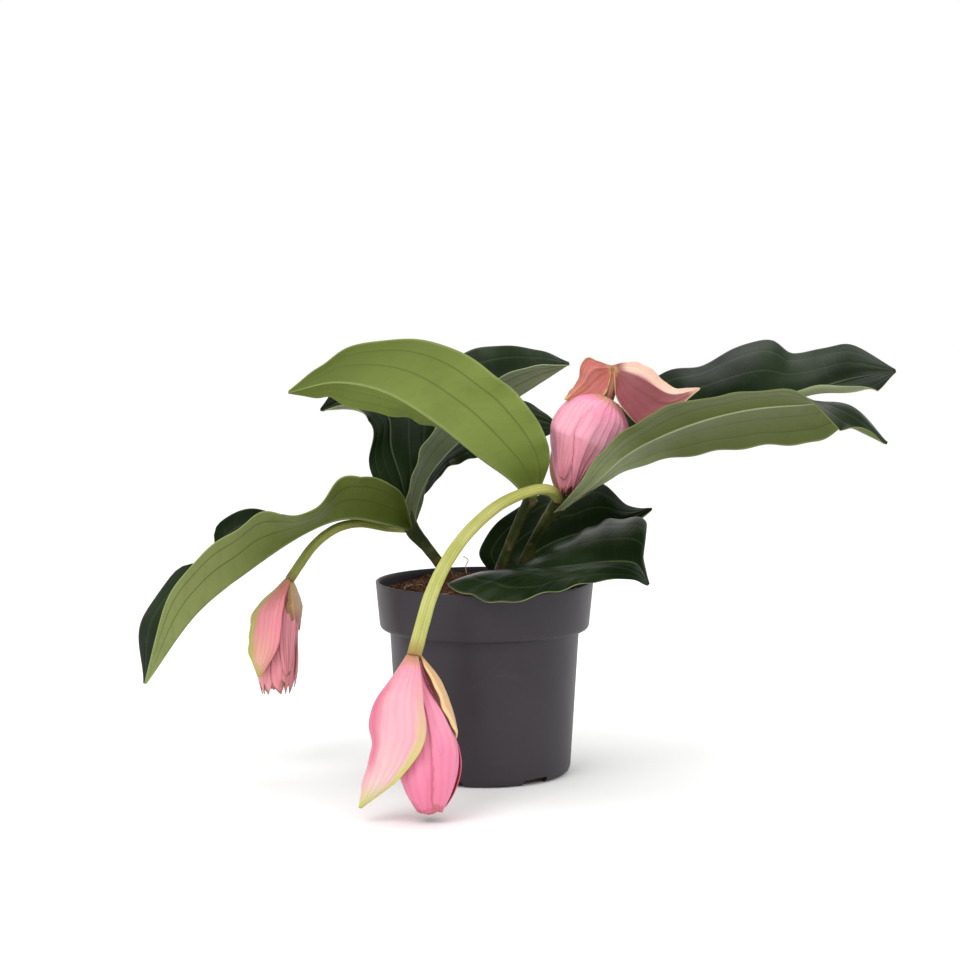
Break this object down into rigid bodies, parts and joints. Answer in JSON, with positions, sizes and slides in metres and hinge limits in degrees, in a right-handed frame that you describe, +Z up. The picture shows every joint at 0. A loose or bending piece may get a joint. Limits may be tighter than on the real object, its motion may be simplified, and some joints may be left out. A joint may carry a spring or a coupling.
{
  "type": "potted medinilla",
  "caption": "Flowering house plant with broad ribbed leaves and nodding pink bract heads, rooted in soil in a round nursery pot.",
  "frame": {"origin": "centre of the pot's flat underside, on the surface it stands on", "axes": "+Z up along the pot's axis; +X to the right and -Y towards the viewer as the plant is seen in the picture; the plant is longest along X"},
  "size_m": [0.5897, 0.3421, 0.3391],
  "materials": {
    "pot_plastic": "satin dark anthracite",
    "soil": "rough reddish brown peat",
    "stem_green": "satin dark green",
    "peduncle_green": "satin yellow-green",
    "leaf_green": "glossy dark green above, paler green below",
    "outer_bract_pink": "satin pink to cream with a yellow-green rim",
    "inner_bract_pink": "satin ribbed pink",
    "flower_bud_pink": "satin pink"
  },
  "bodies": {
    "root": {"pot": "pot_plastic", "soil": "soil", "stem_left": "stem_green", "stem_right_a": "stem_green", "stem_right_b": "stem_green", "peduncle_front": "peduncle_green", "peduncle_left": "peduncle_green", "peduncle_top": "peduncle_green", "leaf_high_left": "leaf_green", "leaf_low_left": "leaf_green", "leaf_back_left": "leaf_green", "leaf_back_centre": "leaf_green", "leaf_back_low": "leaf_green", "leaf_right_near": "leaf_green", "leaf_right_back": "leaf_green", "leaf_low_back": "leaf_green", "leaf_low_front": "leaf_green", "outer_bract_front_left": "outer_bract_pink", "outer_bract_front_right": "outer_bract_pink", "outer_bract_left_left": "outer_bract_pink", "outer_bract_left_right": "outer_bract_pink", "outer_bract_top_right": "outer_bract_pink", "outer_bract_top_left": "outer_bract_pink", "inner_bracts_front": "inner_bract_pink", "inner_bracts_left": "inner_bract_pink", "inner_bracts_top": "inner_bract_pink", "flower_buds_front": "flower_bud_pink", "flower_buds_left": "flower_bud_pink", "flower_buds_top": "flower_bud_pink"}
  },
  "joints": []
}
